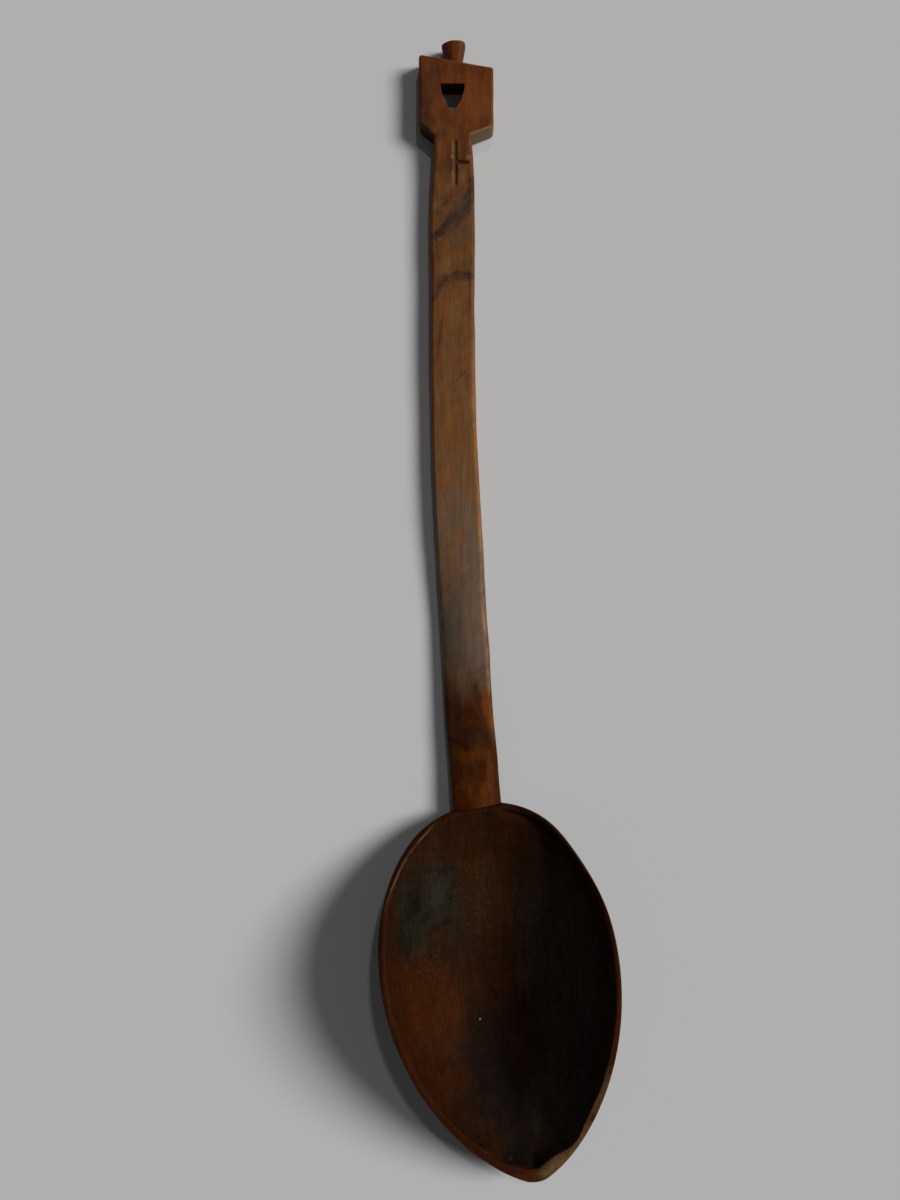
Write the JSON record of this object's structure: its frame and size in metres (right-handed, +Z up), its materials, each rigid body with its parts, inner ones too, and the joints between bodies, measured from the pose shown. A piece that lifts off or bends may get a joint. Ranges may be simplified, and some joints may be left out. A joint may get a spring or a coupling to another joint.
{
  "type": "love spoon",
  "caption": "Carved wooden love spoon with a deep pointed bowl, a long gently bowed flat stem with an incised cross, and a pierced block head with a small knob, made to lie or hang.",
  "frame": {"origin": "bottom centre of the whole spoon's box, on the surface that it lies on", "axes": "+Y along the spoon toward the head, +Z up out of the bowl, +X to the right seen from above"},
  "size_m": [0.0664, 0.333, 0.033],
  "materials": {
    "carved_wood": "old hand-worn wax, satin"
  },
  "bodies": {
    "root": {"bowl": "carved_wood", "stem": "carved_wood", "head": "carved_wood", "finial": "carved_wood"}
  },
  "joints": []
}
